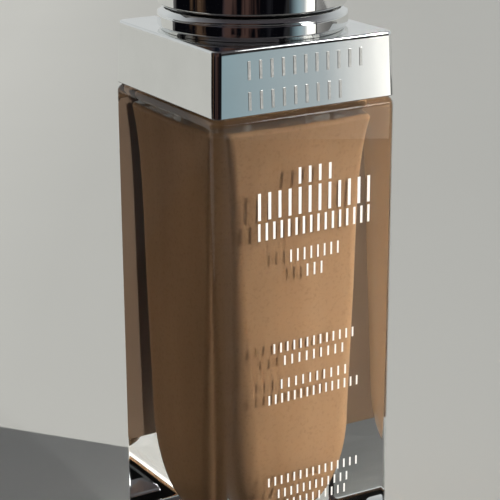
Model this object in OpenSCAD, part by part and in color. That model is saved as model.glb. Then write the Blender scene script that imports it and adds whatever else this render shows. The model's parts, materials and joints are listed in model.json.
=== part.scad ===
// Foundation bottle: a thick square body of clear glass that is filled with opaque foundation,
// a chromed square collar, and a treatment pump under a round chromed overcap that pulls off.
// Origin: centre of the base. +Z is up, and the printed face looks along -Y. Sizes in mm.

/* [Glass body] */
// Width of the square glass body
glass_w = 33; // [32.4:0.1:34]
// Height of the glass body, from base to shoulder
glass_h = 78; // [72:1:90]
// Radius of the upright corners of the glass
corner_r = 1.6; // [1.4:0.1:2.5]
// Radius of the edge between the sides and the shoulder
shoulder_r = 1.3; // [0.8:0.1:1.4]
// Thickness of the solid glass base
base_t = 7; // [5:0.5:10]
// Thickness of the glass under the shoulder
shoulder_t = 2.7; // [2:0.1:3.5]
// Wall thickness beside the corners at the top of the hollow
wall_top = 3.1; // [2.8:0.1:3.6]
// Wall thickness beside the corners, below the flare at the top
wall_side = 4.8; // [4.4:0.1:5.1]
// Wall thickness beside the corners, just above the foot of the hollow
wall_foot = 5.2; // [4.8:0.1:5.8]
// Angle that each side of the hollow bows through, to either side of its middle
bow_angle = 12; // [6:1:16]
// How far each side of the hollow rounds in at its foot
foot_in = 7.2; // [5:0.2:7.4]
// Height over which the foot of the hollow rounds in
foot_h = 17; // [12:0.5:20]

/* [Collar and ring] */
// Side of the collar's top face
collar_w = 32; // [32:0.1:33]
// Height of the collar
collar_h = 10.2; // [9.8:0.1:11]
// How much wider each side is at the collar's foot
collar_draft = 0.35; // [0.1:0.05:0.4]
// Radius of the trim ring
ring_r = 15.1; // [14.8:0.1:15.4]
// Height of the dark gap under the trim ring
gap_h = 0.6; // [0.4:0.1:0.8]
// Height of the trim ring's upright band
ring_h = 1.9; // [1.5:0.1:2.2]

/* [Overcap] */
// Outer radius of the overcap
cap_r = 14.9; // [14.6:0.1:15.1]
// Height of the overcap
cap_h = 29.8; // [28:0.2:36]

/* [Pump] */
// Travel of the pump
stroke = 4.2; // [3.5:0.1:4.6]
// Outer radius of the actuator
actuator_r = 9; // [8.6:0.1:9.6]
// Number of turns in the return spring
spring_turns = 6; // [5:1:7]

/* [Marks] */
// Sideways offset of the print on the glass
print_x = 1.2; // [-2:0.1:2]
// Thickness of the printed ink
ink_t = 0.06; // [0.04:0.01:0.1]
// Width of the strokes in the small rows of print
stroke_w = 0.28; // [0.2:0.02:0.4]

/* [Hidden] */

round_fn = 96;      // round parts
hull_fn = 32;       // round children of a hull
slice_steps = 4;    // flats round each corner of the hollow
slack = 0.05;       // clearance between pieces that are pushed together
cut = 1;            // how far a cutter runs past a face

// Neck and bore of the glass
neck_r = 9;
neck_lip_r = 9.6;
neck_top = glass_h + 8.6;
lip_z = neck_top - 3.2;
lip_h = 1.8;
bore_r = 6.6;
recess_w = 22;
recess_d = 0.6;
label_size = [18, 12, 0.12];
back_label_w = 29;
back_label_z = 14.2;
back_label_h = glass_h - 17;

// Rows of the print: height above the base, width, row height, strokes and stroke width
print_rows = [
    [67.8, 6, 2.6, 4, 0.45],
    [63.8, 20.6, 4.3, 12, 0.5],
    [59.75, 20.6, 2.8, 16, 0.4],
    [55.1, 9, 2, 8, stroke_w],
    [52.3, 2.9, 2, 3, stroke_w],
    [40.2, 15.1, 1.6, 13, stroke_w],
    [37.9, 11.2, 1.6, 9, stroke_w],
    [34, 12.4, 1.6, 10, stroke_w],
    [31.6, 17, 1.6, 15, stroke_w],
    [17.3, 17.2, 1.5, 15, stroke_w],
    [14.9, 13.5, 1.5, 12, stroke_w],
    [12.8, 12.6, 1.5, 11, stroke_w]
];

// Hollow of the glass
hollow_top = glass_h - shoulder_t;
flare_len = 6;
foot_z = base_t + foot_h;
waist_z = foot_z + 23;
top_corner_r = 1.5;
waist_corner_r = 2.6;
foot_corner_r = 5;
foot_low_r = 3.9;
hollow_edge_r = 0.8;
slice_turns = [
    -bow_angle,
    0,
    for (i = [0 : slice_steps - 1]) bow_angle + (90 - 2 * bow_angle) * i / slice_steps
];
side_levels = [for (d = [0.8, 2.5, 5, 8.5, 13, 20]) hollow_top - d];
foot_levels = [0, 0.3, 0.5, 0.68, 0.82, 0.92];

// Levels above the glass
collar_z = glass_h + 0.1;
collar_top = collar_z + collar_h;
ring_z = collar_top + gap_h;
ring_bevel = 0.9;
ring_bevel_h = 0.95;
ring_seat_r = ring_r - 0.5;
ring_top = ring_z + ring_h + ring_bevel_h;
cap_z = ring_top + 0.45;
cap_top = cap_z + cap_h;

// Collar
collar_edge_r = 0.6;
collar_foot_r = 0.2;
collar_side_r = 1.2;
collar_wall = 1;
collar_hole_r = 13.7;
collar_slope = atan(collar_draft / (collar_h - collar_edge_r - collar_foot_r));
plate_t = 1.4;
tower_r = 13.4;
spigot_r = 12.6;
spigot_in_r = 11.4;
spigot_top = ring_top + 6;

// Snap closure
closure_in_r = 9.75;
closure_r = 11;
closure_z = glass_h + 1;
closure_top = neck_top + 2.8;
closure_plate_t = 1;
snap_in_r = 9.1;

// Pump: levels count down from the underside of the closure's top plate
gasket_h = 0.8;
gasket_r = 8.8;
flange_r = 8.6;
flange_top = closure_top - closure_plate_t;
flange_z = neck_top + gasket_h;
housing_r = 5.2;
barrel_r = 3.6;
barrel_top = flange_top - 4.4;
barrel_z = flange_top - 19.4;
housing_z = barrel_z - 4;
ball_chamber_r = 1.95;
ball_seat_z = barrel_z - 2.8;
seat_hole_r = 0.9;
socket_z = barrel_z - 14;
socket_r = 2.7;
tube_r = 1.5;
tube_bore_r = 1;
tube_top = socket_z + 6;
inlet_ball_r = 1.5;
ball_rest = 0.1;

// Moving set of the pump, at rest at the top of its stroke
turret_r = 4.3;
turret_flange_r = 6;
turret_flange_t = 0.4;
turret_top = closure_top + 2.6;
stem_r = 2;
stem_tail_r = 1.6;
stem_bore_r = 0.9;
stem_top = turret_top + 10;
piston_h = 3.4;
piston_z = barrel_top - 0.8 - piston_h;
spring_r = 2.9;
spring_wire_r = 0.35;
spring_z = barrel_z + 0.05;
spring_top = piston_z - 0.15;
valve_r = 1.35;
valve_z = stem_top - 3.5;
outlet_ball_r = 1;

// Actuator
actuator_z = turret_top + stroke + 0.2;
actuator_top = actuator_z + 15.6;
actuator_wall = 0.6;
core_r = actuator_r - actuator_wall - slack;
core_in_r = 7.2;
boss_r = 3.4;
boss_z = turret_top + stroke + 1.2;
deck_z = actuator_top - 4.6;
nozzle_z = actuator_top - 7;
nozzle_r = 2.3;
nozzle_reach = 11.4;
insert_r = 1.45;
insert_reach = 11.8;

// Overcap
cap_wall = 1;
cap_edge_r = 1.2;
cap_lip_r = 0.35;
liner_r = cap_r - cap_wall - slack;
liner_in_r = 13;
liner_grip_r = spigot_r + 0.15;
liner_z = cap_z + 0.8;
grip_top = liner_z + 6.5;
liner_t = 1;

// ---------- shared shapes ----------

// Children at the four upright corners of a square with centres at half width h.
module corners(h) {
    for (x = [-h, h], y = [-h, h])
        translate([x, y, 0])
            children();
}

// Disc of radius r whose rim is rounded by radius e, centred on z = 0.
module rim_disc(r, e) {
    rotate_extrude($fn = hull_fn)
        intersection() {
            translate([r - e, 0])
                circle(e, $fn = hull_fn);
            translate([0, -e])
                square([r, 2 * e]);
        }
}

// Square block with rounded upright corners and rounded lower and upper edges.
module rounded_block(w_low, w_high, z_low, z_high, r, e_low, e_high) {
    hull() {
        translate([0, 0, z_low + e_low])
            corners(w_low / 2 - r)
                rim_disc(r, e_low);
        translate([0, 0, z_high - e_high])
            corners(w_high / 2 - r)
                rim_disc(r, e_high);
    }
}

// Round bar along +Z from z_low to z_high.
module rod(r, z_low, z_high) {
    translate([0, 0, z_low])
        cylinder(r = r, h = z_high - z_low, $fn = round_fn);
}

// Tube along +Z from z_low to z_high.
module pipe(r_out, r_in, z_low, z_high) {
    difference() {
        rod(r_out, z_low, z_high);
        rod(r_in, z_low - cut, z_high + cut);
    }
}

// Half width of the hollow at height z above its foot: a slow taper and a flare at the top.
function side_half(z) =
    glass_w / 2 - wall_foot + (wall_foot - wall_side) * (z - foot_z) / (hollow_top - foot_z)
    + (wall_side - wall_top) * exp((z - hollow_top) / flare_len);

// Corner radius of the hollow at height z above its foot.
function side_corner(z) =
    z > waist_z
    ? top_corner_r + (waist_corner_r - top_corner_r) * (hollow_top - z) / (hollow_top - waist_z)
    : waist_corner_r + (foot_corner_r - waist_corner_r) * (waist_z - z) / (waist_z - foot_z);

// Sections of the hollow from its top to its foot: height, half width and corner radius.
hollow_sections = [
    [hollow_top, side_half(hollow_top) - hollow_edge_r, top_corner_r],
    for (z = side_levels) [z, side_half(z), side_corner(z)],
    [waist_z, side_half(waist_z), waist_corner_r],
    for (t = foot_levels)
        [foot_z - foot_h * t, side_half(foot_z) - foot_in * (1 - sqrt(1 - t * t)), foot_corner_r],
    [base_t, side_half(foot_z) - foot_in, min(foot_low_r, side_half(foot_z) - foot_in)]
];

// Point round a section of the hollow, in its first quarter: on the bowed side, or on the corner.
function quarter_point(side, r, turn) =
    turn > bow_angle
    ? [side + r * cos(turn), side + r * sin(turn)]
    : [
        side - side / tan(bow_angle) + (r + side / sin(bow_angle)) * cos(turn),
        (r + side / sin(bow_angle)) * sin(turn)
    ];

// Points round a section of the hollow, shrunk all round by gap.
function slice_points(section, gap) = [
    for (quarter = [0 : 3], turn = slice_turns)
        let (
            p = quarter_point(section[1] - section[2], section[2] - gap, turn),
            a = 90 * quarter
        )
        [
            p[0] * cos(a) - p[1] * sin(a),
            p[0] * sin(a) + p[1] * cos(a),
            max(base_t + gap, min(hollow_top - gap, section[0]))
        ]
];

// Hollow of the glass, shrunk all round by gap: a flare below the shoulder, then a slow taper
// to a rounded foot.
module hollow(gap) {
    n = 4 * len(slice_turns);
    last = len(hollow_sections) - 1;
    sides = [
        for (i = [0 : last - 1], j = [0 : n - 1])
            let (k = (j + 1) % n)
            [i * n + j, i * n + k, (i + 1) * n + k, (i + 1) * n + j]
    ];
    polyhedron(
        points = [for (section = hollow_sections) each slice_points(section, gap)],
        faces = concat(
            [[for (j = [n - 1 : -1 : 0]) j]],
            sides,
            [[for (j = [0 : n - 1]) last * n + j]]
        )
    );
}

// Room that the hanging pump takes up, grown all round by gap.
module pump_room(gap) {
    rod(housing_r + gap, housing_z - gap, neck_top);
    rod(socket_r + gap, socket_z - gap, housing_z);
    rod(tube_r + gap, base_t, socket_z);
}

// Row of n upright strokes over the width w, standing on the plane y = 0.
module stroke_row(z_mid, w, h, n, line_w, t) {
    pitch = (w - line_w) / (n - 1);
    for (i = [0 : n - 1])
        translate([i * pitch - w / 2, -t, z_mid - h / 2])
            cube([line_w, t, h]);
}

// ---------- glass, fill and marks ----------

module glass_bottle() {
    color([0.86, 0.9, 0.88, 0.35])
        difference() {
            union() {
                rounded_block(glass_w, glass_w, 0, glass_h, corner_r, shoulder_r, shoulder_r);
                rod(neck_r, glass_h - cut, neck_top);
                rod(neck_lip_r, lip_z, lip_z + lip_h);
            }
            hollow(0);
            rod(bore_r, hollow_top - cut, neck_top + cut);
            translate([-recess_w / 2, -recess_w / 2, -cut])
                cube([recess_w, recess_w, cut + recess_d]);
        }
}

module foundation_fill() {
    color([0.66, 0.45, 0.29])
        difference() {
            hollow(slack);
            pump_room(slack);
        }
}

// White ink on the front of the glass: rows of short upright strokes.
module front_print() {
    color("white")
        translate([print_x, -glass_w / 2, 0])
            for (row = print_rows)
                stroke_row(row[0], row[1], row[2], row[3], row[4], ink_t);
}

// Plain label on the back of the glass.
module back_label() {
    color("tan")
        translate([-back_label_w / 2, glass_w / 2, back_label_z])
            cube([back_label_w, ink_t, back_label_h]);
}

module base_label() {
    color("ivory")
        translate([-label_size[0] / 2, -label_size[1] / 2, recess_d - label_size[2]])
            cube(label_size);
}

// ---------- collar and ring ----------

// Outer form of the collar, shrunk by inset at its sides, from z_low to z_high.
module collar_form(inset, z_low, z_high) {
    rounded_block(collar_w + 2 * collar_draft - 2 * inset, collar_w - 2 * inset,
                  z_low, z_high, collar_side_r, collar_foot_r, collar_edge_r);
}

module collar_shell() {
    color("silver")
        difference() {
            collar_form(0, collar_z, collar_top);
            collar_form(collar_wall, collar_z - cut, collar_top - collar_wall);
            rod(collar_hole_r, collar_z, collar_top + cut);
        }
}

// Satin strokes on the front of the collar, laid along its slope.
module collar_mark() {
    pivot_z = collar_top - collar_edge_r;
    lift = 0.01;
    color("lightgray")
        translate([0, -collar_w / 2 - lift, pivot_z])
            rotate([-collar_slope, 0, 0]) {
                translate([-0.3, 0, 0])
                    stroke_row(-2.7, 20.4, 2.8, 11, 0.45, ink_t);
                translate([-2.2, 0, 0])
                    stroke_row(-7.3, 16.6, 2.8, 9, 0.45, ink_t);
            }
}

// Dark inner frame. It grips the closure, carries the shell and the ring, and ends in the spigot
// that the overcap slides over.
module collar_liner() {
    plate_top = collar_top - collar_wall - slack;
    plate_z = plate_top - plate_t;
    frame_w = collar_w - 2 * collar_wall - 1.2;
    frame_t = 1.2;
    sleeve_r = closure_r + 1;
    color([0.08, 0.08, 0.09])
        difference() {
            union() {
                translate([-frame_w / 2, -frame_w / 2, closure_z])
                    cube([frame_w, frame_w, plate_top - closure_z]);
                rod(tower_r, plate_z, ring_z + ring_h);
                rod(spigot_r, plate_z, spigot_top);
            }
            difference() {
                translate([0, 0, closure_z - cut])
                    linear_extrude(plate_z - closure_z + cut)
                        square(frame_w - 2 * frame_t, center = true);
                rod(sleeve_r, closure_z - 2 * cut, plate_z + cut);
                for (a = [45, 135])
                    rotate([0, 0, a])
                        translate([-frame_w, -frame_t / 2, closure_z - 2 * cut])
                            cube([2 * frame_w, frame_t, plate_z - closure_z + 3 * cut]);
            }
            rod(closure_r + slack, closure_z - cut, plate_top);
            rod(spigot_in_r, plate_z, spigot_top + cut);
        }
}

module trim_ring() {
    edge = 0.25;
    color("gainsboro")
        difference() {
            rotate_extrude($fn = round_fn)
                union() {
                    polygon([
                        [0, ring_z],
                        [ring_r - edge, ring_z],
                        [ring_r - edge, ring_z + ring_h],
                        [ring_r - ring_bevel, ring_top],
                        [0, ring_top]
                    ]);
                    translate([0, collar_top + slack])
                        square([ring_seat_r, gap_h]);
                    translate([0, ring_z + edge])
                        square([ring_r, ring_h - 2 * edge]);
                    for (z = [ring_z + edge, ring_z + ring_h - edge])
                        translate([ring_r - edge, z])
                            circle(edge, $fn = hull_fn);
                }
            rod(tower_r + slack, ring_z - cut, ring_z + ring_h);
            rod(spigot_r + slack, ring_z, ring_top + cut);
        }
}

// ---------- closure and pump ----------

module snap_closure() {
    color("whitesmoke")
        difference() {
            rod(closure_r, closure_z, closure_top);
            rod(closure_in_r, closure_z - cut, lip_z - 2);
            rod(snap_in_r, closure_z, lip_z + cut / 2);
            rod(closure_in_r, lip_z - slack, flange_top);
            rod(turret_r + slack, flange_z, closure_top + cut);
        }
}

module neck_gasket() {
    color("white")
        pipe(gasket_r, bore_r, neck_top, neck_top + gasket_h);
}

module pump_housing() {
    color("white")
        difference() {
            union() {
                rod(flange_r, flange_z, flange_top);
                rod(housing_r, housing_z, flange_top);
                rod(socket_r, socket_z, housing_z + cut);
            }
            rod(turret_flange_r + slack, flange_top - turret_flange_t, flange_top + cut);
            rod(turret_r + slack, barrel_top, flange_top + cut);
            rod(barrel_r, barrel_z, barrel_top + cut);
            rod(ball_chamber_r, ball_seat_z, barrel_z + cut);
            rod(seat_hole_r, tube_top - cut, ball_seat_z + cut);
            rod(tube_r + slack, socket_z - cut, tube_top);
        }
}

// Turret that closes the housing and guides the stem.
module housing_cap() {
    color("white")
        difference() {
            union() {
                rod(turret_r, barrel_top + slack, turret_top);
                rod(turret_flange_r, flange_top - turret_flange_t, flange_top);
            }
            rod(stem_r + slack, barrel_top - cut, turret_top + cut);
        }
}

module dip_tube() {
    color("white")
        pipe(tube_r, tube_bore_r, base_t + 1, tube_top);
}

module inlet_ball() {
    color("lightsteelblue")
        translate([0, 0, ball_seat_z + ball_rest + inlet_ball_r])
            sphere(inlet_ball_r, $fn = round_fn);
}

// Coil swept along a helix. Each ring of the wire is joined to the next one.
module return_spring() {
    steps = 20;
    sides = 8;
    rings = spring_turns * steps;
    height = spring_top - spring_z - 2 * spring_wire_r;
    points = [
        for (i = [0 : rings], j = [0 : sides - 1])
            let (
                turn = 360 * i / steps,
                around = 360 * j / sides,
                r = spring_r + spring_wire_r * cos(around)
            )
            [
                r * cos(turn),
                r * sin(turn),
                spring_z + spring_wire_r + height * i / rings + spring_wire_r * sin(around)
            ]
    ];
    walls = [
        for (i = [0 : rings - 1], j = [0 : sides - 1])
            let (k = (j + 1) % sides)
            [i * sides + j, (i + 1) * sides + j, (i + 1) * sides + k, i * sides + k]
    ];
    ends = [
        [for (j = [0 : sides - 1]) j],
        [for (j = [sides - 1 : -1 : 0]) rings * sides + j]
    ];
    color("silver")
        polyhedron(points, concat(walls, ends));
}

// Piston with a sealing lip at each end, pushed onto the tail of the stem.
module piston() {
    waist = 0.5;
    lip = 0.8;
    fit_r = barrel_r - slack;
    color("white")
        difference() {
            union() {
                rod(fit_r - waist, piston_z, piston_z + piston_h);
                rod(fit_r, piston_z, piston_z + lip);
                rod(fit_r, piston_z + piston_h - lip, piston_z + piston_h);
            }
            rod(stem_tail_r + 0.02, piston_z - cut, piston_z + piston_h + cut);
        }
}

module stem() {
    color("white")
        difference() {
            union() {
                rod(stem_tail_r, piston_z, stem_top);
                rod(stem_r, piston_z + piston_h, stem_top);
            }
            rod(stem_bore_r, piston_z - cut, stem_top + cut);
            rod(valve_r, valve_z, stem_top + cut);
        }
}

module outlet_ball() {
    color("lightsteelblue")
        translate([0, 0, valve_z + ball_rest + outlet_ball_r])
            sphere(outlet_ball_r, $fn = round_fn);
}

// ---------- actuator ----------

// Child turned to lie along -Y at the height of the nozzle.
module toward_nozzle() {
    translate([0, 0, nozzle_z])
        rotate([90, 0, 0])
            children();
}

module actuator_body() {
    color("whitesmoke")
        difference() {
            union() {
                pipe(core_r, core_in_r, actuator_z + 0.4, deck_z + slack);
                rod(core_r, deck_z, actuator_top - actuator_wall - slack);
                rod(boss_r, boss_z, deck_z + slack);
                toward_nozzle()
                    rod(nozzle_r, 0, nozzle_reach);
            }
            rod(stem_r + slack, boss_z - cut, stem_top + slack);
            rod(stem_bore_r, boss_z, nozzle_z);
            toward_nozzle()
                rod(stem_bore_r, 0, nozzle_reach);
            toward_nozzle()
                rod(insert_r + 0.02, nozzle_reach - 3, nozzle_reach + cut);
        }
}

module actuator_shell() {
    edge = 0.8;
    color("silver")
        difference() {
            rotate_extrude($fn = round_fn)
                union() {
                    translate([0, actuator_z])
                        square([actuator_r, actuator_top - actuator_z - edge]);
                    translate([0, actuator_z])
                        square([actuator_r - edge, actuator_top - actuator_z]);
                    translate([actuator_r - edge, actuator_top - edge])
                        circle(edge, $fn = hull_fn);
                }
            rod(actuator_r - actuator_wall, actuator_z - cut, actuator_top - actuator_wall);
            toward_nozzle()
                rod(nozzle_r + slack, actuator_r / 2, actuator_r + cut);
        }
}

module nozzle_insert() {
    color("dimgray")
        toward_nozzle()
            pipe(insert_r, 0.5, nozzle_reach - 3, insert_reach);
}

// ---------- overcap ----------

module overcap_shell() {
    color("silver")
        difference() {
            rotate_extrude($fn = round_fn)
                union() {
                    translate([0, cap_z + cap_lip_r])
                        square([cap_r, cap_h - cap_lip_r - cap_edge_r]);
                    translate([0, cap_z])
                        square([cap_r - cap_lip_r, cap_h - cap_edge_r]);
                    translate([0, cap_z + cap_h / 2])
                        square([cap_r - cap_edge_r, cap_h / 2]);
                    translate([cap_r - cap_lip_r, cap_z + cap_lip_r])
                        circle(cap_lip_r, $fn = hull_fn);
                    translate([cap_r - cap_edge_r, cap_top - cap_edge_r])
                        circle(cap_edge_r, $fn = hull_fn);
                }
            rod(cap_r - cap_wall, cap_z - cut, cap_top - cap_wall);
        }
}

module overcap_liner() {
    color("ghostwhite")
        difference() {
            rod(liner_r, liner_z, cap_top - cap_wall - slack);
            rod(liner_grip_r, liner_z - cut, grip_top);
            rod(liner_in_r, grip_top - slack, cap_top - cap_wall - slack - liner_t);
        }
}

glass_bottle();
foundation_fill();
front_print();
base_label();
back_label();
collar_shell();
collar_mark();
collar_liner();
trim_ring();
snap_closure();
neck_gasket();
pump_housing();
housing_cap();
dip_tube();
inlet_ball();
return_spring();
piston();
stem();
outlet_ball();
actuator_body();
actuator_shell();
nozzle_insert();
overcap_shell();
overcap_liner();
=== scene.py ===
"""Looks of the foundation bottle: smooth glass, opaque foundation, chrome, and a plain studio.

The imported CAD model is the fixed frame. Lengths below are in millimetres and become metres in
the helpers. The printed face looks along -Y and the base stands on z = 0.
"""

import json
import math

import bpy
from mathutils import Matrix, Vector

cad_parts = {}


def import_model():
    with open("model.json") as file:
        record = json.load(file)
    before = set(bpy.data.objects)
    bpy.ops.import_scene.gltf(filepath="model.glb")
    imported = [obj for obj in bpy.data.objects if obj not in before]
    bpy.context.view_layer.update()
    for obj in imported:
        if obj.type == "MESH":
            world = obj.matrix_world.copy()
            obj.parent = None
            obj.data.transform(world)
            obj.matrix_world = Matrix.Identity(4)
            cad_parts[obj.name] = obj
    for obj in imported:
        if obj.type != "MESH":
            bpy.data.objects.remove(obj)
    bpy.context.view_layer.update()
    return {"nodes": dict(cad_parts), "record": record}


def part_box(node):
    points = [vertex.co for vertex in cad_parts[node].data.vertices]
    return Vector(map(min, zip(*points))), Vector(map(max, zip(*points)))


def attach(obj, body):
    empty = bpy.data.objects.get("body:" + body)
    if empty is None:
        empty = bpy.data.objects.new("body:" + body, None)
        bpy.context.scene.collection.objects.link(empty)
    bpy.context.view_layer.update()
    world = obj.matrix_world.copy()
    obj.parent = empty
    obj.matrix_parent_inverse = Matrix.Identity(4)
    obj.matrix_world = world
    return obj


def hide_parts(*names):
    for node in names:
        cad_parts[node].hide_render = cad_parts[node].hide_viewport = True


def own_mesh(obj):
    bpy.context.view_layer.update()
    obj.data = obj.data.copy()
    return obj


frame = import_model()

MM = 0.001


# ---------- sizes, read from the frame where it shows them ----------

def box_mm(node):
    """Lowest and highest corner of a CAD node, in millimetres."""
    low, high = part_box(node)
    return low / MM, high / MM


glass_high = box_mm("glass_bottle")[1]
shell_low, shell_high = box_mm("collar_shell")
ring_high = box_mm("trim_ring")[1]
cap_low, cap_high = box_mm("overcap_shell")

# Outer skin of the glass
GLASS_HALF = glass_high.x
NECK_TOP = glass_high.z
NECK_H = 8.6
SHOULDER_Z = NECK_TOP - NECK_H
CORNER_R = 1.6
EDGE_R = 1.3
NECK_R = 9.0
LIP_R = 9.6
BORE_R = 6.6
RECESS_HALF = 11.0
RECESS_D = 0.6

# Hollow: walls beside its corners, the bow of its sides in degrees, and its rounded foot
BASE_T = 7.0
SHOULDER_T = 2.7
HOLLOW_TOP = SHOULDER_Z - SHOULDER_T
WALL_TOP = 3.1
WALL_SIDE = 4.8
WALL_FOOT = 5.2
FLARE_LENGTH = 6.0
BOW = 12
FOOT_H = 17.0
FOOT_Z = BASE_T + FOOT_H
FOOT_IN = 7.2
WAIST_Z = FOOT_Z + 23.0
TOP_CORNER_R = 1.5
WAIST_CORNER_R = 2.6
FOOT_CORNER_R = 5.0
FOOT_LOW_R = 3.9

# A hair that an opaque piece reaches into the glass, so that no air shows between the two
HAIR = 0.02

# Collar, ring and overcap
PLATE_T = 1.0
COLLAR_TOP = shell_high.z
COLLAR_HALF = 16.0
COLLAR_FOOT_HALF = shell_high.x
COLLAR_HOLE_R = 13.7
RING_R = ring_high.x
RING_TOP = ring_high.z
RING_GAP = 0.6
RING_BEVEL_H = 0.95
CAP_R = cap_high.x

# Azimuth and elevation of the sun inside the glass, and of the sun outside it
INNER_SUN = (30, 12.8)
OUTER_SUN = (38.1, 20)


# ---------- mesh helpers ----------

def add_piece(name, verts, faces, body, slot, replaced, smooth):
    """New mesh object, in metres, that rides on a CAD body and stands for CAD nodes."""
    mesh = bpy.data.meshes.new(name)
    mesh.from_pydata([Vector(v) * MM for v in verts], [], faces)
    mesh.validate()
    mesh.update()
    piece = bpy.data.objects.new(name, mesh)
    bpy.context.scene.collection.objects.link(piece)
    for polygon in mesh.polygons:
        polygon.use_smooth = smooth
    if smooth:
        even = piece.modifiers.new("even_normals", "WEIGHTED_NORMAL")
        even.weight = 100
        even.keep_sharp = True
    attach(piece, body)
    if replaced:
        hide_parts(*replaced)
    return piece


def arc(cx, cz, r, start, end, steps):
    """Points (distance, height) on an arc, with both ends, from start to end in degrees."""
    points = []
    for i in range(steps + 1):
        a = math.radians(start + (end - start) * i / steps)
        points.append((cx + r * math.cos(a), cz + r * math.sin(a)))
    return points


def square_ring(half, r, z, bow=0, side_steps=8, corner_steps=14):
    """Closed ring round a square whose corners are rounded by r. With a bow, each side is an arc
    that runs that many degrees to either side of its middle, out past the square."""
    r = min(r, half)
    side = half - r
    quarter = []
    for i in range(side_steps):
        across = 2 * i / side_steps - 1
        if bow:
            turn = math.radians(bow)
            big = r + side / math.sin(turn)
            quarter.append((side - side / math.tan(turn) + big * math.cos(turn * across),
                            big * math.sin(turn * across)))
        else:
            quarter.append((half, side * across))
    quarter += arc(side, side, r, bow, 90 - bow, corner_steps)[:-1]
    ring = []
    for c, s in ((1, 0), (0, 1), (-1, 0), (0, -1)):
        ring += [(x * c - y * s, x * s + y * c, z) for x, y in quarter]
    return ring


def loft(sections, closed=False):
    """Skin over square rings (half width, corner radius, height, bow or not), capped or joined
    end to end."""
    rings = [square_ring(*section) for section in sections]
    count = len(rings[0])
    verts = [v for ring in rings for v in ring]
    faces = []
    spans = len(rings) if closed else len(rings) - 1
    for i in range(spans):
        low, high = i * count, (i + 1) % len(rings) * count
        for j in range(count):
            k = (j + 1) % count
            faces.append((low + j, low + k, high + k, high + j))
    if not closed:
        faces.append(tuple(reversed(range(count))))
        faces.append(tuple(range(len(verts) - count, len(verts))))
    return verts, faces


def lathe(profile, steps=192):
    """Closed ring-shaped skin: a closed outline of (radius, height) points turned about Z."""
    verts = []
    for i in range(steps):
        a = 2 * math.pi * i / steps
        verts += [(r * math.cos(a), r * math.sin(a), z) for r, z in profile]
    count = len(profile)
    faces = []
    for i in range(steps):
        near, far = i * count, (i + 1) % steps * count
        for j in range(count):
            k = (j + 1) % count
            faces.append((near + j, far + j, far + k, near + k))
    return verts, faces


# ---------- materials ----------

class Shader:
    """A Principled material with short calls for its procedural nodes."""

    def __init__(self, name):
        self.material = bpy.data.materials.new(name)
        self.material.use_nodes = True
        self.nodes = self.material.node_tree.nodes
        self.links = self.material.node_tree.links
        self.bsdf = self.nodes["Principled BSDF"]
        self.place = self.nodes.new("ShaderNodeTexCoord").outputs["Object"]

    def set(self, **values):
        for key, value in values.items():
            self.bsdf.inputs[key.replace("_", " ")].default_value = value

    def stretched(self, scale):
        """The object's own coordinates, scaled along each axis."""
        mapping = self.nodes.new("ShaderNodeMapping")
        mapping.inputs["Scale"].default_value = scale
        self.links.new(self.place, mapping.inputs["Vector"])
        return mapping.outputs["Vector"]

    def noise(self, scale, detail=3.0, rough=0.5, vector=None):
        node = self.nodes.new("ShaderNodeTexNoise")
        node.inputs["Scale"].default_value = scale
        node.inputs["Detail"].default_value = detail
        node.inputs["Roughness"].default_value = rough
        self.links.new(vector or self.place, node.inputs["Vector"])
        return node.outputs["Fac"]

    def ramp(self, value, stops):
        """Colour ramp over (position, colour) stops. A number stands for a grey."""
        node = self.nodes.new("ShaderNodeValToRGB")
        elements = node.color_ramp.elements
        while len(elements) < len(stops):
            elements.new(0.5)
        for element, (position, colour) in zip(elements, stops):
            grey = isinstance(colour, (int, float))
            element.position = position
            element.color = (colour, colour, colour, 1) if grey else (*colour, 1)
        self.links.new(value, node.inputs["Fac"])
        return node.outputs["Color"]

    def across(self, direction, half):
        """0 to 1 along a direction, over that many millimetres to either side of the origin."""
        dot = self.nodes.new("ShaderNodeVectorMath")
        dot.operation = "DOT_PRODUCT"
        dot.inputs[1].default_value = direction / (half * MM)
        self.links.new(self.place, dot.inputs[0])
        shift = self.nodes.new("ShaderNodeMath")
        shift.operation = "MULTIPLY_ADD"
        shift.inputs[1].default_value = 0.5
        shift.inputs[2].default_value = 0.5
        self.links.new(dot.outputs["Value"], shift.inputs[0])
        return shift.outputs["Value"]

    def mix(self, a, b, amount):
        """Mix of two colours, each a socket or a value, by a socket or a number."""
        node = self.nodes.new("ShaderNodeMix")
        node.data_type = "RGBA"
        for socket, value in ((node.inputs[6], a), (node.inputs[7], b), (node.inputs[0], amount)):
            if isinstance(value, (int, float)):
                socket.default_value = value
            elif isinstance(value, tuple):
                socket.default_value = (*value, 1)
            else:
                self.links.new(value, socket)
        return node.outputs[2]

    def colour(self, socket):
        self.links.new(socket, self.bsdf.inputs["Base Color"])

    def roughness(self, socket):
        self.links.new(socket, self.bsdf.inputs["Roughness"])

    def bump(self, height, strength, distance):
        """Bump of that distance in millimetres. A second call adds to the first."""
        node = self.nodes.new("ShaderNodeBump")
        node.inputs["Strength"].default_value = strength
        node.inputs["Distance"].default_value = distance * MM
        self.links.new(height, node.inputs["Height"])
        socket = self.bsdf.inputs["Normal"]
        if socket.is_linked:
            self.links.new(socket.links[0].from_socket, node.inputs["Normal"])
        self.links.new(node.outputs["Normal"], socket)


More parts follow.
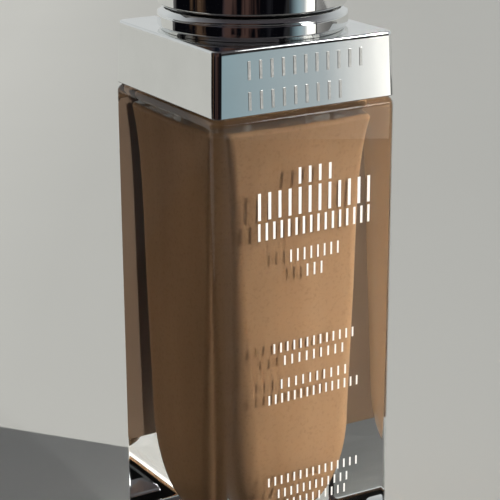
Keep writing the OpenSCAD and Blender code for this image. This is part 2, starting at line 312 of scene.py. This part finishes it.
def chrome(name, tint, smudge=0.12):
    """Mirror plating with faint smudges, hairline scratches and a soft orange peel."""
    s = Shader(name)
    s.set(Metallic=1.0)
    blotch = s.noise(90, 4, 0.6)
    s.colour(s.mix(tint, tuple(c * 0.93 for c in tint), s.ramp(blotch, [(0.35, 0), (0.7, 1)])))
    hair = s.noise(700, 2, 0.5, s.stretched((1, 1, 0.06)))
    s.roughness(s.mix(s.ramp(blotch, [(0.42, 0.03), (0.68, smudge)]),
                      s.ramp(hair, [(0.5, 0.02), (0.8, 0.14)]), 0.25))
    s.bump(s.noise(160, 2), 0.05, 0.05)
    s.bump(hair, 0.04, 0.01)
    return s.material


def plastic(name, low, high, rough=0.38, peel=0.05):
    """Moulded plastic with slight shade variation and a fine moulded skin."""
    s = Shader(name)
    s.set(IOR=1.49)
    s.colour(s.ramp(s.noise(120, 4), [(0.3, low), (0.7, high)]))
    s.roughness(s.ramp(s.noise(260, 3), [(0.3, rough - 0.07), (0.7, rough + 0.08)]))
    s.bump(s.noise(900, 2), peel, 0.04)
    return s.material


def steel(name):
    s = Shader(name)
    s.set(Metallic=1.0)
    grain = s.noise(1500, 3, 0.5, s.stretched((1, 1, 0.1)))
    s.colour(s.ramp(grain, [(0.3, (0.5, 0.5, 0.51)), (0.7, (0.68, 0.68, 0.69))]))
    s.roughness(s.ramp(grain, [(0.3, 0.18), (0.7, 0.34)]))
    s.bump(grain, 0.1, 0.01)
    return s.material


def clear_glass():
    """Thick clear glass with faint smears and a slight waviness."""
    s = Shader("clear_glass")
    s.set(Transmission_Weight=1.0, IOR=1.5)
    s.colour(s.ramp(s.noise(30, 2), [(0.3, (0.95, 0.97, 0.955)), (0.7, (0.98, 0.99, 0.98))]))
    s.roughness(s.ramp(s.noise(70, 4), [(0.45, 0.0), (0.8, 0.02)]))
    s.bump(s.noise(45, 2), 0.05, 0.1)
    return s.material


def foundation():
    """Opaque cream seen through glass: fine mottling, upright drags, and a film that only
    shines at a grazing angle."""
    s = Shader("foundation_cream")
    s.set(IOR=1.12, Subsurface_Weight=0.1, Subsurface_Scale=0.0004)
    s.set(Coat_Weight=1.0, Coat_Roughness=0.04, Coat_IOR=1.08)
    s.bsdf.inputs["Subsurface Radius"].default_value = (1.0, 0.5, 0.25)
    drag = s.noise(110, 3, 0.5, s.stretched((1, 1, 0.1)))
    base = s.ramp(drag, [(0.3, (0.229, 0.128, 0.063)), (0.7, (0.27, 0.158, 0.082))])
    speck = s.noise(1800, 3, 0.6)
    s.colour(s.mix(base, (0.165, 0.084, 0.036), s.ramp(speck, [(0.52, 0), (0.75, 0.5)])))
    s.roughness(s.ramp(drag, [(0.3, 0.5), (0.7, 0.62)]))
    s.bump(speck, 0.15, 0.05)
    return s.material


def ink(name, colour, rough):
    """Screen-printed ink: nearly even, with a fine grain."""
    s = Shader(name)
    grain = s.noise(2500, 2)
    s.colour(s.ramp(grain, [(0.3, tuple(c * 0.95 for c in colour)), (0.7, colour)]))
    s.roughness(s.ramp(grain, [(0.3, rough), (0.7, rough + 0.1)]))
    s.bump(grain, 0.1, 0.01)
    return s.material


def satin_chrome():
    s = Shader("satin_chrome")
    s.set(Metallic=1.0)
    frost = s.noise(3500, 3)
    s.colour(s.ramp(frost, [(0.3, (0.42, 0.42, 0.41)), (0.7, (0.5, 0.5, 0.49))]))
    s.roughness(s.ramp(frost, [(0.3, 0.28), (0.7, 0.36)]))
    s.bump(frost, 0.3, 0.02)
    return s.material


CHROME_TINT = (0.9, 0.91, 0.905)
MATERIALS = {
    "clear_glass": clear_glass(),
    "foundation_liquid": foundation(),
    "white_ink": ink("white_ink", (0.9, 0.89, 0.87), 0.4),
    "label_paper": ink("label_paper", (0.8, 0.76, 0.7), 0.7),
    "back_label_film": ink("back_label_film", (0.36, 0.24, 0.155), 0.6),
    "collar_chrome": chrome("collar_chrome", CHROME_TINT),
    "ring_chrome": chrome("ring_chrome", CHROME_TINT, 0.06),
    "overcap_chrome": chrome("overcap_chrome", CHROME_TINT, 0.08),
    "satin_chrome": satin_chrome(),
    "black_plastic": plastic("black_plastic", (0.006, 0.006, 0.007), (0.014, 0.014, 0.015), 0.35),
    "white_plastic": plastic("white_plastic", (0.78, 0.78, 0.76), (0.85, 0.85, 0.83)),
    "clear_white_plastic": plastic("natural_plastic", (0.68, 0.7, 0.68), (0.76, 0.77, 0.75), 0.3),
    "soft_seal": plastic("soft_seal", (0.66, 0.66, 0.63), (0.74, 0.74, 0.71), 0.6),
    "ball_steel": steel("ball_steel"),
    "spring_steel": steel("spring_steel"),
    "actuator_aluminium": chrome("bright_aluminium", (0.83, 0.83, 0.84), 0.2),
}


def dress(obj, slot):
    obj.data.materials.clear()
    obj.data.materials.append(MATERIALS[slot])


def made(name, shape, body, slot, replaced=(), smooth=True):
    """A piece from a (verts, faces) shape, with its slot's material."""
    piece = add_piece(name, *shape, body, slot, replaced, smooth)
    dress(piece, slot)
    return piece


# ---------- glass and foundation ----------

def side_half(z):
    """Half width of the hollow above its foot: a slow taper, and a flare at the top."""
    up = (z - FOOT_Z) / (HOLLOW_TOP - FOOT_Z)
    wall = WALL_FOOT + (WALL_SIDE - WALL_FOOT) * up
    wall -= (WALL_SIDE - WALL_TOP) * math.exp((z - HOLLOW_TOP) / FLARE_LENGTH)
    return GLASS_HALF - wall


def side_corner(z):
    """Corner radius of the hollow above its foot."""
    if z > WAIST_Z:
        part = (z - WAIST_Z) / (HOLLOW_TOP - WAIST_Z)
        return WAIST_CORNER_R + (TOP_CORNER_R - WAIST_CORNER_R) * part
    part = (z - FOOT_Z) / (WAIST_Z - FOOT_Z)
    return FOOT_CORNER_R + (WAIST_CORNER_R - FOOT_CORNER_R) * part


def hollow_sections(grow):
    """Sections of the hollow from its foot to its top, grown by grow."""
    foot_half = side_half(FOOT_Z)
    sections = []
    for angle in range(90, 0, -5):
        drop, out = math.sin(math.radians(angle)), math.cos(math.radians(angle))
        corner = FOOT_CORNER_R + (FOOT_LOW_R - FOOT_CORNER_R) * drop ** 6
        sections.append((foot_half - FOOT_IN * (1 - out) + grow, corner + grow,
                         FOOT_Z - (FOOT_H + grow) * drop, BOW))
    edge, steps = 0.8, 48
    for i in range(steps + 1):
        z = FOOT_Z + (HOLLOW_TOP - edge - FOOT_Z) * i / steps
        sections.append((side_half(z) + grow, side_corner(z) + grow, z, BOW))
    half, corner = sections[-1][0] - grow, sections[-1][1] - grow
    for x, z in arc(half - edge, HOLLOW_TOP - edge, edge + grow, 0, 90, 6)[1:]:
        sections.append((x, max(0.3, corner - (half + grow - x) * 0.5), z, BOW))
    return sections


def glass_bottle():
    """Outer skin from the base recess up over the shoulder and the neck, then down the hollow."""
    sections = [(0.5, 0.4, RECESS_D), (RECESS_HALF - 0.3, 1.0, RECESS_D),
                (RECESS_HALF, 1.2, 0.25), (RECESS_HALF + 0.4, 1.4, 0.0)]
    side = GLASS_HALF - EDGE_R
    skin = arc(side, EDGE_R, EDGE_R, -90, 0, 8) + arc(side, SHOULDER_Z - EDGE_R, EDGE_R, 0, 90, 8)
    sections += [(x, CORNER_R - (GLASS_HALF - x) * 0.5, z) for x, z in skin]
    neck = [(NECK_R + 0.6, SHOULDER_Z), (NECK_R + 0.15, SHOULDER_Z + 0.2),
            (NECK_R, SHOULDER_Z + 0.7)]
    neck += [(NECK_R, NECK_TOP - 3.4), (LIP_R - 0.1, NECK_TOP - 3.1), (LIP_R, NECK_TOP - 2.8)]
    neck += [(LIP_R, NECK_TOP - 1.8), (LIP_R - 0.2, NECK_TOP - 1.4), (NECK_R, NECK_TOP - 1.2)]
    neck += [(NECK_R, NECK_TOP - 0.4), (NECK_R - 0.4, NECK_TOP), (BORE_R + 0.4, NECK_TOP)]
    neck += [(BORE_R, NECK_TOP - 0.4), (BORE_R, HOLLOW_TOP + 0.5), (BORE_R + 0.5, HOLLOW_TOP)]
    sections += [(r, r, z) for r, z in neck]
    sections += list(reversed(hollow_sections(0.0)))
    made("glass_body", loft(sections), "bottle", "clear_glass", ["glass_bottle"])


def foundation_fill():
    """The cream fills the hollow."""
    shape = loft(hollow_sections(HAIR))
    made("foundation", shape, "bottle", "foundation_liquid", ["foundation_fill"])


def back_label():
    """Label with rounded corners, stuck on the back."""
    low, high = box_mm("back_label")
    corner = 1.5
    left, right = low.x + corner, high.x - corner
    foot, top = low.z + corner, high.z - corner
    outline = []
    for i, (x, z) in enumerate(((right, top), (left, top), (left, foot), (right, foot))):
        outline += arc(x, z, corner, 90 * i, 90 * i + 90, 6)
    count = len(outline)
    verts = [(x, y, z) for y in (GLASS_HALF - HAIR, high.y) for x, z in outline]
    faces = [tuple(reversed(range(count))), tuple(range(count, 2 * count))]
    faces += [(j, (j + 1) % count, (j + 1) % count + count, j + count) for j in range(count)]
    made("back_label_sheet", (verts, faces), "bottle", "back_label_film", ["back_label"],
         smooth=False)


# ---------- collar, ring and overcap ----------

def collar_shell():
    """Plated square collar, open below. It widens a little to its foot, and its upper edge eases
    in before it turns over."""
    foot_z = shell_low.z
    foot_r, edge_r, corner_r = 0.2, 0.3, 1.2
    soft_r, soft = 2.5, 14
    outer = [(COLLAR_FOOT_HALF - PLATE_T, corner_r, foot_z)]
    outer += [(x, corner_r, z) for x, z in
              arc(COLLAR_FOOT_HALF - foot_r, foot_z + foot_r, foot_r, -90, 0, 5)]
    lean = math.radians(soft)
    start_z = COLLAR_TOP - edge_r * (1 - math.sin(lean)) - soft_r * math.sin(lean)
    outer += [(x, corner_r, z) for x, z in arc(COLLAR_HALF - soft_r, start_z, soft_r, 0, soft, 6)]
    edge_x = outer[-1][0] - edge_r * math.cos(lean)
    outer += [(x, corner_r, z) for x, z in
              arc(edge_x, COLLAR_TOP - edge_r, edge_r, soft, 90, 8)[1:]]
    outer += [(COLLAR_HOLE_R + 0.8, COLLAR_HOLE_R * 0.35, COLLAR_TOP)]
    outer += [(COLLAR_HOLE_R + 0.2, COLLAR_HOLE_R, COLLAR_TOP),
              (COLLAR_HOLE_R, COLLAR_HOLE_R, COLLAR_TOP - 0.15),
              (COLLAR_HOLE_R, COLLAR_HOLE_R, COLLAR_TOP - PLATE_T),
              (COLLAR_HALF - PLATE_T - 0.3, corner_r, COLLAR_TOP - PLATE_T)]
    made("collar", loft(outer, closed=True), "bottle", "collar_chrome", ["collar_shell"])


def trim_ring():
    """Upright chrome band on a narrower seat, with a cove above it that leads in under the
    overcap."""
    inner, lead_r, edge = 13.45, 12.7, 0.25
    seat_r = RING_R - 0.5
    seat_z = COLLAR_TOP + 0.05
    band_z = COLLAR_TOP + RING_GAP
    band_top = RING_TOP - RING_BEVEL_H
    cove_r = 2.36
    cove_out, cove_up = 1.2, 1.1
    profile = [(inner, seat_z), (seat_r, seat_z), (seat_r, band_z)]
    profile += arc(RING_R - edge, band_z + edge, edge, -90, 0, 6)
    profile += arc(RING_R - edge, band_top - edge, edge, 0, 70, 6)
    profile += arc(RING_R + cove_out, RING_TOP + cove_up, cove_r, 238, 208, 10)
    profile += [(lead_r, RING_TOP), (lead_r, band_top), (inner, band_top)]
    made("trim_ring_band", lathe(profile), "bottle", "ring_chrome", ["trim_ring"])


def overcap_shell():
    """Plated cup: rolled lower lip, rounded top edge, hollow inside."""
    lip, edge, inside_edge, axis_r = 0.35, 1.2, 0.5, 0.02
    inner = CAP_R - PLATE_T
    ceiling = cap_high.z - PLATE_T
    profile = [(axis_r, ceiling), (inner - inside_edge, ceiling)]
    profile += arc(inner - inside_edge, ceiling - inside_edge, inside_edge, 90, 0, 5)[1:]
    profile += [(inner, cap_low.z + 0.2), (inner + 0.1, cap_low.z)]
    profile += arc(CAP_R - lip, cap_low.z + lip, lip, -90, 0, 10)
    profile += arc(CAP_R - edge, cap_high.z - edge, edge, 0, 90, 10)
    profile += [(axis_r, cap_high.z)]
    made("overcap", lathe(profile), "overcap", "overcap_chrome", ["overcap_shell"])


# ---------- return spring ----------

def return_spring():
    """Coil between the floor of the barrel and the piston, built at its rest length. The real coil
    shortens as the pump is pressed.
    """
    low, high = box_mm("return_spring")
    turns, wire_r, steps, sides = 6, 0.35, 24, 10
    coil_r = high.x - wire_r
    rise = high.z - low.z - 2 * wire_r
    verts = []
    for i in range(turns * steps + 1):
        turn = 2 * math.pi * i / steps
        middle = low.z + wire_r + rise * i / (turns * steps)
        for x, z in arc(coil_r, middle, wire_r, 0, 360, sides)[:-1]:
            verts.append((x * math.cos(turn), x * math.sin(turn), z))
    faces = []
    for i in range(turns * steps):
        for j in range(sides):
            k = (j + 1) % sides
            near, far = i * sides, (i + 1) * sides
            faces.append((near + j, far + j, far + k, near + k))
    faces.append(tuple(range(sides)))
    faces.append(tuple(reversed(range(turns * steps * sides, len(verts)))))
    piece = made("return_coil", (verts, faces), "bottle", "spring_steel", ["return_spring"])
    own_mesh(piece)


# ---------- the rest of the CAD nodes ----------

def dress_cad_nodes():
    """Each CAD node that is still shown gets its slot's procedural material."""
    slots = {p["node"]: p["material_slot"] for p in frame["record"]["subparts"]}
    for node, obj in frame["nodes"].items():
        if not obj.hide_render:
            dress(obj, slots[node])


# ---------- studio ----------

MIRROR_ONLY = ("camera", "diffuse", "shadow")
BACK_LEFT = -121


def stage_mesh(name, verts, faces, hidden_from=()):
    """Sheet of the studio, in millimetres, left out of those kinds of rays."""
    mesh = bpy.data.meshes.new(name)
    mesh.from_pydata([Vector(v) * MM for v in verts], [], faces)
    obj = bpy.data.objects.new(name, mesh)
    bpy.context.scene.collection.objects.link(obj)
    for rays in hidden_from:
        setattr(obj, "visible_" + rays, False)
    return obj


def floor_sheet(name, low, high, z, hidden_from=()):
    """Level sheet from one (x, y) corner to the opposite one."""
    corners = ((low[0], low[1]), (high[0], low[1]), (high[0], high[1]), (low[0], high[1]))
    return stage_mesh(name, [(x, y, z) for x, y in corners], [(0, 1, 2, 3)], hidden_from)


def cloth(obj, low, high):
    """Dull grey cloth between two shades."""
    s = Shader(obj.name)
    s.colour(s.ramp(s.noise(40, 3), [(0.3, low), (0.7, high)]))
    s.roughness(s.ramp(s.noise(90, 2), [(0.3, 0.8), (0.7, 0.95)]))
    obj.data.materials.append(s.material)


def floor():
    """Wide pale tabletop, painted brighter to the back left as a fall-off of the light, with a
    faint cloudy variation.
    """
    half = 6000
    obj = floor_sheet("studio_floor", (-half, -half), (half, half), 0)
    s = Shader("floor_paint")
    # Painted light: the colour brightens toward the back left in place of the light falling off
    # across the table.
    shade = s.ramp(s.across(toward(BACK_LEFT, 0), 100), [
        (0.1, (0.555, 0.565, 0.545)), (0.75, (0.62, 0.63, 0.605)), (1.0, (0.72, 0.73, 0.7))])
    s.colour(s.mix(shade, (0.5, 0.51, 0.49), s.ramp(s.noise(5, 3), [(0.4, 0), (0.7, 0.15)])))
    s.roughness(s.ramp(s.noise(20, 3), [(0.3, 0.62), (0.7, 0.72)]))
    s.bump(s.noise(400, 3), 0.1, 0.1)
    obj.data.materials.append(s.material)


def front_mat():
    """Dark cloth in front of the bottle, left out of direct view: it only keeps the floor's light
    off the printed face. The pale lining gives the floor below the light that the cloth takes."""
    for name, z, shade in (("front_mat", 0.3, 0.05), ("mat_lining", 0.2, 0.43)):
        obj = floor_sheet(name, (-500, -700), (500, -19), z, ("camera", "shadow"))
        cloth(obj, shade * 0.9, shade * 1.1)


def side_mat():
    """Dark sheet on the floor at the back left, seen only in mirrors: painted shade, which the
    left side of the glass reflects where the floor lies in the bottle's shadow."""
    unseen = ("camera", "diffuse", "transmission", "shadow")
    # Painted shade: a near-black sheet that darkens what the left glass side reflects.
    cloth(floor_sheet("side_mat", (-168, -60), (-17, 330), 0.4, unseen), 0.03, 0.05)


def flag(name, distance, side_low, side_high, z_low, z_high):
    """Sheet far out in the inner sun's beam, seen by nothing else. It covers that range across
    the beam and in height, and the soft edge of its shadow shades the printed face."""
    beam, side = toward(*INNER_SUN) * distance, toward(INNER_SUN[0] + 90, 0)
    corners = ((side_low, z_low), (side_high, z_low), (side_high, z_high), (side_low, z_high))
    verts = [beam + side * a + Vector((0, 0, z)) for a, z in corners]
    unseen = ("camera", "diffuse", "glossy", "transmission")
    cloth(stage_mesh(name, verts, [(0, 1, 2, 3)], unseen), 0.04, 0.06)


def card(name, azimuth, distance, width, z_low, z_high):
    """Upright sheet that faces the bottle and is seen only in mirrors and through glass."""
    out = toward(azimuth, 0) * distance
    side = Vector((-out.y, out.x, 0)).normalized() * width / 2
    corners = zip((out - side, out + side, out + side, out - side), (z_low, z_low, z_high, z_high))
    return stage_mesh(name, [(c.x, c.y, z) for c, z in corners], [(0, 1, 2, 3)], MIRROR_ONLY)


def screen(name, start, end, z_low, z_high, radius=420, steps=24):
    """Curved upright sheet round the bottle, from one azimuth to another, seen only in mirrors
    and through glass."""
    verts = []
    for i in range(steps + 1):
        out = toward(start + (end - start) * i / steps, 0) * radius
        verts += [(out.x, out.y, z_low), (out.x, out.y, z_high)]
    faces = [(2 * i, 2 * i + 2, 2 * i + 3, 2 * i + 1) for i in range(steps)]
    return stage_mesh(name, verts, faces, MIRROR_ONLY)


def glow(obj, strength, pattern):
    """Emission in the colour that pattern(shader) gives."""
    s = Shader(obj.name)
    emission = s.nodes.new("ShaderNodeEmission")
    emission.inputs["Strength"].default_value = strength
    s.links.new(pattern(s), emission.inputs["Color"])
    s.links.new(emission.outputs["Emission"], s.nodes["Material Output"].inputs["Surface"])
    obj.data.materials.append(s.material)


def dark_side():
    """Dark room behind the camera with brown and blue-grey things in it, for the chrome: glowing
    screens seen only in mirrors, a painted reflection of dim room things and of floor in shade.
    """
    room_start, room_end = -140, 10
    start_turn = -room_start - 90
    # Painted reflection: these glowing colours stand for dim things near the camera and floor in
    # shade.
    stops = [(0.0, (0.1, 0.1, 0.1)), (0.1, (0.16, 0.15, 0.14)), (0.2, (0.1, 0.06, 0.035)),
             (0.36, (0.05, 0.03, 0.02)), (0.45, (0.012, 0.02, 0.035)),
             (0.52, (0.06, 0.035, 0.03)), (0.75, (0.055, 0.03, 0.025)),
             (0.82, (0.006, 0.006, 0.008)), (1.0, (0.02, 0.02, 0.022))]

    def pattern(s):
        radial = s.nodes.new("ShaderNodeTexGradient")
        radial.gradient_type = "RADIAL"
        turned = s.nodes.new("ShaderNodeMapping")
        turned.inputs["Rotation"].default_value = (0, 0, math.radians(start_turn))
        s.links.new(s.place, turned.inputs["Vector"])
        s.links.new(turned.outputs["Vector"], radial.inputs["Vector"])
        along = s.nodes.new("ShaderNodeMapRange")
        along.inputs["From Max"].default_value = (room_end - room_start) / 360
        s.links.new(radial.outputs["Fac"], along.inputs["Value"])
        hues = s.ramp(along.outputs["Result"], stops)
        folds = s.noise(8, 3, 0.55, s.stretched((1, 1, 0.7)))
        return s.mix(hues, (0.002, 0.002, 0.003), s.ramp(folds, [(0.46, 0), (0.53, 1)]))

    glow(screen("dark_room", room_start, room_end, 0, 420), 1.0, pattern)
    glow(screen("dark_sill", room_end, 50, 0, 172), 1.0,
         lambda s: s.ramp(s.noise(20, 2), [(0.3, 0.01), (0.7, 0.03)]))


def reflector():
    """Low glowing sheet at the front right, seen only in mirrors: a painted reflection of the
    floor, shaded cool grey at its left end, then sunlit warm white.
    """
    azimuth, width = 30, 190
    obj = card("reflector", azimuth, 300, width, 0, 72)

    def pattern(s):
        # Painted reflection: cool grey stands for floor in shade, warm white for sunlit floor.
        return s.ramp(s.across(toward(azimuth + 90, 0), width / 2), [
            (0.05, (0.02, 0.025, 0.03)), (0.36, (0.18, 0.25, 0.275)), (0.55, (0.29, 0.325, 0.335)),
            (0.62, (0.6, 0.6, 0.58)), (0.675, (1.0, 0.985, 0.92))])

    glow(obj, 1.4, pattern)


def window():
    """Bright window on the sun's side."""
    glow(card("window", 40, 1500, 420, 330, 900), 6.0,
         lambda s: s.ramp(s.noise(2, 2), [(0.3, (0.95, 0.97, 1.0)), (0.7, (1.0, 1.0, 1.0))]))


def world():
    """Room light: pale at the back, dark overhead and on the camera's side."""
    w = bpy.data.worlds.new("room")
    bpy.context.scene.world = w
    w.use_nodes = True
    nodes, links = w.node_tree.nodes, w.node_tree.links
    place = nodes.new("ShaderNodeTexCoord").outputs["Generated"]
    dot = nodes.new("ShaderNodeVectorMath")
    dot.operation = "DOT_PRODUCT"
    dot.inputs[1].default_value = toward(-20, 50) * 0.5
    links.new(place, dot.inputs[0])
    lift = nodes.new("ShaderNodeMath")
    lift.operation = "ADD"
    lift.inputs[1].default_value = 0.5
    links.new(dot.outputs["Value"], lift.inputs[0])
    ramp = nodes.new("ShaderNodeValToRGB")
    stops = [(0.0, (0.6, 0.61, 0.6)), (0.36, (0.6, 0.62, 0.62)), (0.55, (0.42, 0.44, 0.45)),
             (0.72, (0.15, 0.15, 0.16)), (0.9, (0.05, 0.045, 0.05))]
    while len(ramp.color_ramp.elements) < len(stops):
        ramp.color_ramp.elements.new(0.5)
    for element, (position, colour) in zip(ramp.color_ramp.elements, stops):
        element.position = position
        element.color = (*colour, 1)
    links.new(lift.outputs["Value"], ramp.inputs["Fac"])
    links.new(ramp.outputs["Color"], nodes["Background"].inputs["Color"])
    nodes["Background"].inputs["Strength"].default_value = 1.0


def toward(azimuth, elevation):
    """Unit vector that many degrees to the right of the printed face's outlook, and up."""
    a, e = math.radians(azimuth), math.radians(elevation)
    return Vector((math.sin(a) * math.cos(e), -math.cos(a) * math.cos(e), math.sin(e)))


def sun(name, azimuth, elevation, strength, angle, colour):
    data = bpy.data.lights.new(name, "SUN")
    data.energy = strength
    data.angle = math.radians(angle)
    data.color = colour
    obj = bpy.data.objects.new(name, data)
    obj.rotation_mode = "QUATERNION"
    obj.rotation_quaternion = toward(azimuth, elevation).to_track_quat("Z", "Y")
    bpy.context.scene.collection.objects.link(obj)
    return obj


def link_light(light, receiver, state, through=None):
    """Lets the light fall on that piece alone, or on all but it, and pass through another."""
    for kind, name, way in (("receiver", receiver, state), ("blocker", through, "EXCLUDE")):
        if name:
            group = bpy.data.collections.new(f"{light.name}_{kind}s")
            group.objects.link(bpy.data.objects[name])
            setattr(light.light_linking, kind + "_collection", group)
            group.collection_objects[0].light_linking.link_state = way


def lights():
    """A sun for everything but the foundation. The foundation has its own, turned as the glass
    bends it, and a weak fill. The label's inner side gets the light that runs along the left
    wall."""
    link_light(sun("key", *OUTER_SUN, 5.3, 0.6, (1.0, 0.97, 0.92)), "foundation", "EXCLUDE")
    link_light(sun("inner", *INNER_SUN, 3.9, 0.5, (1.0, 1.0, 1.0)),
               "foundation", "INCLUDE", "glass_body")
    link_light(sun("side_fill", -140, 12, 0.86, 15, (1.0, 0.95, 0.87)),
               "foundation", "INCLUDE", "glass_body")
    link_light(sun("wall_light", -INNER_SUN[0], INNER_SUN[1], 1.2, 1.0, (1.0, 1.0, 1.0)),
               "back_label_sheet", "INCLUDE", "glass_body")


def camera():
    """Long lens, looking down a little on the front left corner of the bottle."""
    yaw, pitch, roll = (math.radians(a) for a in (30.81, 18.08, -0.306))
    place = Vector((-135.9, -226.7, 137.2)) * MM
    data = bpy.data.cameras.new("camera")
    data.lens = 121.45
    data.sensor_width = 36
    data.clip_start = 10 * MM
    obj = bpy.data.objects.new("camera", data)
    turn = (Matrix.Rotation(roll, 3, "Y") @ Matrix.Rotation(pitch, 3, "X")
            @ Matrix.Rotation(yaw, 3, "Z")).transposed()
    right, ahead, up = turn.col
    obj.matrix_world = Matrix((
        (right.x, up.x, -ahead.x, place.x),
        (right.y, up.y, -ahead.y, place.y),
        (right.z, up.z, -ahead.z, place.z),
        (0, 0, 0, 1)))
    bpy.context.scene.collection.objects.link(obj)
    bpy.context.scene.camera = obj


glass_bottle()
foundation_fill()
back_label()
collar_shell()
trim_ring()
overcap_shell()
return_spring()
dress_cad_nodes()
floor()
front_mat()
side_mat()
flag("left_flag", distance=2000, side_low=-76, side_high=-16, z_low=-45, z_high=135)
flag("top_flag", distance=10000, side_low=-60, side_high=60, z_low=77, z_high=200)
dark_side()
reflector()
window()
world()
lights()
camera()
bpy.context.scene.view_settings.view_transform = "Standard"
